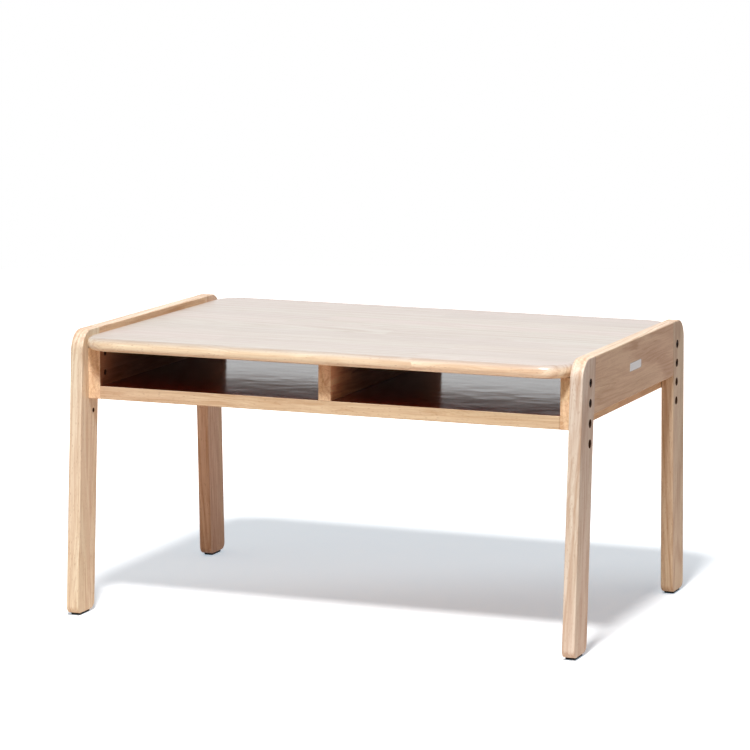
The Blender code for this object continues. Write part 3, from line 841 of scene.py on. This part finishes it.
class KIDS_TABLE_OT_side_rails(Operator):
    """Models the rails between the legs, the right one with a pocket for the plate"""

    bl_idname = "kids_table.side_rails"
    bl_label = "Side rails"

    def execute(self, context):
        woodwork = context.scene.kids_table_woodwork
        hardware = context.scene.kids_table_hardware
        looks = context.scene.kids_table_finish
        for side in SIDES:
            node = f"side_rail_{side}"
            low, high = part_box(node)
            bm = block(low, high)
            for vert in bm.verts:
                joint = frame_edge_y(woodwork, vert.co.z) - woodwork.leg_width
                vert.co.y = math.copysign(joint - SEAT_GAP, vert.co.y)
            round_edges(bm, edges_along(bm, 1), woodwork.frame_ease, segments=5)
            rail = new_object(node + "_board", bm)
            cutters = dowel_holes(f"rail_dowel_{side}_")
            if side == "right":
                join(cutters, self.pocket(hardware))
            carve(rail, cutters)
            staves = Staves(AXIS_Y, AXIS_Z, Vector((0, 0, low.z - CUT_PAST)), 2 * (high.z - low.z), WHOLE)
            finish(rail, node, "frame_wood", wood_material("rail wood", looks, staves, RAIL))
        return {"FINISHED"}

    def pocket(self, hardware):
        """The shallow pocket that the plate lies in."""
        low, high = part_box("label_plate")
        room = Vector((SEAT_GAP, SEAT_GAP, SEAT_GAP))
        bm = block(low - room, high + room + CUT_PAST * AXIS_X)
        round_edges(bm, edges_along(bm, 0), hardware.plate_corner + SEAT_GAP, segments=8)
        return bm


class KIDS_TABLE_OT_storage_box(Operator):
    """Models the box under the top: two side boards, the shelf and the divider"""

    bl_idname = "kids_table.storage_box"
    bl_label = "Storage box"

    def execute(self, context):
        woodwork = context.scene.kids_table_woodwork
        looks = context.scene.kids_table_finish
        bored = new_material("bored wood", shaded_hole_wood, looks)
        low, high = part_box("divider_board")
        upright = Staves(AXIS_Y, AXIS_Z, Vector((0, 0, low.z + BOX_GLUE_LINE)), *BOX_STAVES)
        lying = Staves(AXIS_X, AXIS_Y, Vector((0, SHELF_GLUE_LINE, low.z)), SHELF_STAVE, WHOLE)
        board_wood = wood_material("box wood", looks, upright, THIN)
        # Painted shade on the side boards' faces inside the bays
        inside = wood_material("box wood inside", looks, upright, INSIDE_SHADE)
        # Painted shade on the divider's faces, with painted light near the box's front
        painted_divider = wood_material("divider wood inside", looks, upright, DIVIDER_SHADE_AND_LIGHT)
        shelf_wood = wood_material("shelf wood", looks, lying, EDGE)
        # Painted shade on the shelf's upper face in the bays
        shelf_inside_shaded = wood_material("shelf wood inside", looks, lying, FLOWED_SHADED)

        for side in SIDES:
            cutters = self.bolt_holes(woodwork, side)
            join(cutters, dowel_holes(f"shelf_dowel_{side}_", f"top_dowel_{side}_"))
            board = self.board(f"box_side_{side}", woodwork, cutters, self.side_edges)
            mark_inner(board, -SIDES[side] * AXIS_X)
            finish(board, f"box_side_{side}", "box_wood", board_wood, bored, inside)
        cutters = dowel_holes("divider_dowel_")
        board = self.board("divider_board", woodwork, cutters, lambda bm: edges_along(bm, 2))
        mark_inner(board, AXIS_X, -AXIS_X)
        finish(board, "divider_board", "box_wood", board_wood, bored, painted_divider)
        cutters = dowel_holes("shelf_dowel_", "divider_dowel_lower_")
        board = self.board("shelf_board", woodwork, cutters, lambda bm: edges_along(bm, 0))
        mark_inner(board, AXIS_Z)
        finish(board, "shelf_board", "box_wood", shelf_wood, bored, shelf_inside_shaded)
        return {"FINISHED"}

    def side_edges(self, bm):
        """All but those round the face under the top."""
        lowest = min(vert.co.z for vert in bm.verts)
        lying = edges_along(bm, 1) + edges_along(bm, 0)
        return [edge for edge in lying if edge_middle(edge).z - lowest < CUT_PAST] + edges_along(bm, 2)

    def board(self, node, woodwork, cutters, open_edges):
        """A board in its node's place, its open edges lightly eased and its glued ones sharp."""
        bm = block(*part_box(node))
        round_edges(bm, open_edges(bm), woodwork.board_ease, segments=4)
        board = new_object(node + "_planed", bm)
        carve(board, cutters)
        return board

    def bolt_holes(self, woodwork, side):
        """Cutters for the inserts' holes in a side board's outer face, and the bores behind them."""
        cutters = bmesh.new()
        low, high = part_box(f"box_side_{side}")
        narrow = (woodwork.bore_width, high.x - low.x)
        for end in ENDS:
            for level in LEVELS:
                insert = f"threaded_insert_{side}_{end}_{level}"
                insert_low, insert_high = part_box(insert)
                size = insert_high - insert_low
                wide = (size.z + 2 * SEAT_GAP, size.x + 2 * SEAT_GAP)
                mouth = outer_middle(insert, side)
                mouth.x = outer_middle(f"box_side_{side}", side).x
                stepped_bore(cutters, mouth, -SIDES[side] * AXIS_X, wide, narrow, woodwork.inner_ease)
        return cutters


class KIDS_TABLE_OT_foot_pads(Operator):
    """Models the felt pads under the feet"""

    bl_idname = "kids_table.foot_pads"
    bl_label = "Foot pads"

    def execute(self, context):
        hardware = context.scene.kids_table_hardware
        felt = new_material("pressed felt", pressed_felt, context.scene.kids_table_finish)
        for side, end in CORNERS:
            node = f"foot_pad_{side}_{end}"
            pad = new_object(node + "_felt", self.shape(hardware, *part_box(node)))
            finish(pad, node, "black_felt", felt)
        return {"FINISHED"}

    def shape(self, hardware, low, high):
        """A thin pad, its sides fuzzy and its faces flat."""
        bm = block(low, high)
        round_edges(bm, edges_along(bm, 2), hardware.pad_corner, segments=8)
        bmesh.ops.subdivide_edges(bm, edges=edges_along(bm, 0) + edges_along(bm, 1), cuts=24)
        upright = set(edges_along(bm, 2))
        rim = [edge for edge in bm.edges if edge not in upright and self.on_rim(edge)]
        round_edges(bm, rim, hardware.pad_ease, segments=3)
        centre = middle_of(low, high)
        for vert in bm.verts:
            if low.z < vert.co.z < high.z:
                out = Vector((vert.co.x - centre.x, vert.co.y - centre.y, 0)).normalized()
                vert.co -= out * hardware.pad_fuzz * (1 + noise.noise(vert.co * FUZZ)) / 2
        return bm

    def on_rim(self, edge):
        upright = [abs(face.normal.z) < 1 - PARALLEL for face in edge.link_faces]
        return upright.count(True) == 1


class KIDS_TABLE_OT_bolts(Operator):
    """Models the socket head bolts of the height setting, with knurled heads and threads"""

    bl_idname = "kids_table.bolts"
    bl_label = "Bolts"

    def execute(self, context):
        hardware = context.scene.kids_table_hardware
        steel = new_material("black oxide", black_oxide, context.scene.kids_table_finish)
        for side, end in CORNERS:
            for level in LEVELS:
                node = bolt_node(side, end, level)
                low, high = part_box(node)
                out = SIDES[side] * AXIS_X
                face = outer_middle(node, side)
                bolt = new_object(node + "_steel", self.shape(hardware, face, out, high - low))
                carve(bolt, self.socket(hardware, face, out))
                finish(bolt, node, "black_steel", steel)
        return {"FINISHED"}

    def shape(self, hardware, face, out, size):
        """A bolt turned from its head's face to its tip, then knurled and threaded."""
        head = size.z / 2
        whole = size.x
        shank = hardware.shank_width / 2
        ease = hardware.head_ease
        profile = [(0, 0), (head - ease, 0), (head - ease / 3, ease / 3), (head, ease)]
        rings = 6
        wall = hardware.head_height - 2 * ease
        profile += [(head, ease + wall * ring / rings) for ring in range(1, rings + 1)]
        profile += [(head - ease / 2, hardware.head_height), (shank, hardware.head_height)]
        step = hardware.thread_pitch / 4
        run = hardware.head_height + step
        while run < whole - hardware.thread_depth:
            profile.append((shank, run))
            run += step
        profile += [(shank - hardware.thread_depth, whole), (0, whole)]
        bm = bmesh.new()
        turn(bm, profile, face, -out)
        self.knurl_and_thread(bm, hardware, face, out, head)
        return bm

    def knurl_and_thread(self, bm, hardware, face, out, head):
        """Draws every second line of the head's wall inwards, and the shank along a helix."""
        side = out.orthogonal().normalized()
        up = out.cross(side)
        shank = hardware.shank_width / 2
        for vert in bm.verts:
            run = (face - vert.co).dot(out)
            arm = vert.co - face + run * out
            radius = arm.length
            angle = math.atan2(arm.dot(up), arm.dot(side))
            if abs(radius - head) < MERGE_DISTANCE:
                line = round(angle / (2 * math.pi) * ROUND_STEPS)
                if line % 2:
                    vert.co -= arm.normalized() * hardware.knurl_depth
            elif abs(radius - shank) < MERGE_DISTANCE and run > hardware.head_height:
                turns = run / hardware.thread_pitch - angle / (2 * math.pi)
                hollow = abs(2 * (turns % 1.0) - 1)
                vert.co -= arm.normalized() * hardware.thread_depth * hollow

    def socket(self, hardware, face, out):
        """The hexagon for the key, with a conical floor."""
        bm = bmesh.new()
        corner = hardware.socket_width / 2 / math.cos(math.pi / 6)
        depth = hardware.socket_depth
        profile = [(0, -CUT_PAST), (corner, -CUT_PAST), (corner, depth), (0, depth + corner / 3)]
        turn(bm, profile, face, -out, steps=6)
        return bm


class KIDS_TABLE_OT_inserts(Operator):
    """Gives the threaded inserts their plating"""

    bl_idname = "kids_table.inserts"
    bl_label = "Threaded inserts"

    def execute(self, context):
        looks = context.scene.kids_table_finish
        repaint(new_material("zinc plating", zinc_plating, looks), "threaded_insert_")
        return {"FINISHED"}


class KIDS_TABLE_OT_dowels(Operator):
    """Gives the dowels their raw beech"""

    bl_idname = "kids_table.dowels"
    bl_label = "Dowels"

    def execute(self, context):
        beech = new_material("raw beech", raw_beech, context.scene.kids_table_finish)
        repaint(beech, "rail_dowel_", "shelf_dowel_", "top_dowel_", "divider_dowel_")
        return {"FINISHED"}


def repaint(material, *families):
    """Puts a material on every solid whose name starts as one of the families' does."""
    found = [node for name, node in frame["nodes"].items() if name.startswith(families)]
    if not found:
        raise RuntimeError(f"no solid has a name that starts with any of {families}")
    for node in found:
        for slot in node.material_slots:
            slot.material = material


class KIDS_TABLE_OT_label_plate(Operator):
    """Models the bare plate on the right rail"""

    bl_idname = "kids_table.label_plate"
    bl_label = "Plate"

    def execute(self, context):
        hardware = context.scene.kids_table_hardware
        low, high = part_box("label_plate")
        bm = block(low, high)
        round_edges(bm, edges_along(bm, 0), hardware.plate_corner, segments=8)
        face = [e for e in bm.edges if all(abs(v.co.x - high.x) < MERGE_DISTANCE for v in e.verts)]
        round_edges(bm, face, hardware.plate_ease, segments=3)
        plate = new_object("label_plate_bare", bm)
        metal = new_material("satin plate", satin_plate, context.scene.kids_table_finish)
        finish(plate, "label_plate", "label_plate", metal)
        return {"FINISHED"}


class KIDS_TABLE_OT_stage(Operator):
    """Sets the floor, the lamp, the light from all round and the camera"""

    bl_idname = "kids_table.stage"
    bl_label = "Stage"

    def execute(self, context):
        stage = context.scene.kids_table_stage
        self.floor(stage)
        self.lamp(context, stage)
        self.surroundings(context, stage)
        self.camera(context, stage)
        context.scene.view_settings.view_transform = "Standard"
        return {"FINISHED"}

    def floor(self, stage):
        bm = bmesh.new()
        bmesh.ops.create_circle(bm, cap_ends=True, radius=stage.floor_radius, segments=96)
        floor = new_object("floor", bm)
        floor.data.materials.append(new_material("white floor", white_floor, stage))

    def lamp(self, context, stage):
        """A round lamp whose light on a face square to it is the lamp level."""
        data = bpy.data.lights.new("studio_lamp", "AREA")
        data.shape = "DISK"
        data.size = stage.lamp_width
        data.energy = stage.lamp_level * (math.pi * stage.lamp_distance) ** 2
        lamp = bpy.data.objects.new("studio_lamp", data)
        towards = Vector(stage.lamp_from).normalized()
        aim = middle_of(*cad_box)
        lamp.location = aim + towards * stage.lamp_distance
        lamp.rotation_euler = towards.to_track_quat("Z", "Y").to_euler()
        context.scene.collection.objects.link(lamp)

    def surroundings(self, context, stage):
        """Soft light from all round, and plain white wherever it is seen or mirrored."""
        world = bpy.data.worlds.new("studio")
        world.use_nodes = True
        world.node_tree.nodes.clear()
        nodes = Nodes(world.node_tree)
        height = nodes.split(nodes.add("TexCoord").outputs["Generated"])[2]
        level = nodes.ranged(height, *stage.fill_rise, 0.0, stage.fill_level, smooth=True)
        fill = nodes.add("Background", {"Color": opaque(stage.fill_colour), "Strength": level}).outputs[0]
        white = nodes.add("Background", {"Color": (1.0, 1.0, 1.0, 1.0), "Strength": 1.0}).outputs[0]
        shown = nodes.add("MixShader", {0: seen_or_mirrored(nodes), 1: fill, 2: white}).outputs[0]
        nodes.add("OutputWorld", {"Surface": shown})
        context.scene.world = world

    def camera(self, context, stage):
        data = bpy.data.cameras.new("camera")
        data.lens = stage.lens
        camera = bpy.data.objects.new("camera", data)
        heading = Matrix.Rotation(stage.camera_heading, 4, "Z")
        dip = Matrix.Rotation(math.pi / 2 - stage.camera_dip, 4, "X")
        roll = Matrix.Rotation(stage.camera_roll, 4, "Z")
        camera.matrix_world = Matrix.Translation(stage.camera_place) @ heading @ dip @ roll
        context.scene.collection.objects.link(camera)
        context.scene.camera = camera


def seen_or_mirrored(nodes):
    """1 for rays from the camera, from gloss and through glass, and 0 for light on the object."""
    path = nodes.add("LightPath").outputs
    seen = nodes.math("MAXIMUM", path["Is Camera Ray"], path["Is Glossy Ray"])
    return nodes.math("MAXIMUM", seen, path["Is Transmission Ray"])


def white_floor(nodes, shader, stage):
    """A pale floor that looks white where the lamp reaches it and keeps the table's shadow, with painted
    shade that darkens the shadow towards the front and right.
    """
    nodes.tree.nodes.remove(shader)
    from_table = nodes.vector("LENGTH", nodes.object_place())
    pool = stage.pool_radius
    beyond = nodes.ranged(from_table, pool, POOL_FADE * pool, smooth=True)
    # Painted shade: the lift to white is smaller towards the front and right, under the table
    back = nodes.vector("DOT_PRODUCT", nodes.object_place(), Vector(stage.dusk_way))
    out_of_painted_shade = nodes.ranged(back, *stage.dusk_reach, smooth=True)
    lift = nodes.mix(out_of_painted_shade, stage.floor_dusk, stage.floor_glow)
    white = nodes.mix(beyond, lift, (1.0, 1.0, 1.0))
    bounce = nodes.mix(beyond, stage.floor_colour, stage.floor_edge)
    seen = nodes.add("LightPath").outputs["Is Camera Ray"]
    matt = nodes.add("BsdfDiffuse", {"Color": nodes.mix(seen, bounce, stage.floor_seen)}).outputs[0]
    glow = nodes.add("Emission", {"Color": white, "Strength": seen_or_mirrored(nodes)}).outputs[0]
    both = nodes.add("AddShader", {0: matt, 1: glow}).outputs[0]
    nodes.feed(nodes.tree.nodes["Material Output"], {"Surface": both})


PIECES = (
    KIDS_TABLE_OT_table_top,
    KIDS_TABLE_OT_legs,
    KIDS_TABLE_OT_side_rails,
    KIDS_TABLE_OT_storage_box,
    KIDS_TABLE_OT_foot_pads,
    KIDS_TABLE_OT_bolts,
    KIDS_TABLE_OT_inserts,
    KIDS_TABLE_OT_dowels,
    KIDS_TABLE_OT_label_plate,
    KIDS_TABLE_OT_stage,
)
SETTINGS = {
    "kids_table_woodwork": KidsTableWoodwork,
    "kids_table_hardware": KidsTableHardware,
    "kids_table_finish": KidsTableFinish,
    "kids_table_stage": KidsTableStage,
}


class KIDS_TABLE_PT_panel(Panel):
    """Lists the table's sizes and looks, and a button for each piece"""

    bl_idname = "KIDS_TABLE_PT_panel"
    bl_label = "Kids Table"
    bl_space_type = "VIEW_3D"
    bl_region_type = "UI"
    bl_category = "Kids Table"

    def draw(self, context):
        for setting in SETTINGS:
            group = getattr(context.scene, setting)
            column = self.layout.box().column()
            for name in group.__annotations__:
                column.prop(group, name)
        for piece in PIECES:
            self.layout.operator(piece.bl_idname)


CLASSES = (*SETTINGS.values(), *PIECES, KIDS_TABLE_PT_panel)


def register():
    for cls in CLASSES:
        bpy.utils.register_class(cls)
    for setting, group in SETTINGS.items():
        setattr(bpy.types.Scene, setting, PointerProperty(type=group))


def unregister():
    for setting in SETTINGS:
        delattr(bpy.types.Scene, setting)
    for cls in reversed(CLASSES):
        bpy.utils.unregister_class(cls)


def main():
    register()
    for piece in PIECES:
        make = getattr(bpy.ops.kids_table, piece.bl_idname.split(".")[1])
        make()


if __name__ == "__main__":
    main()
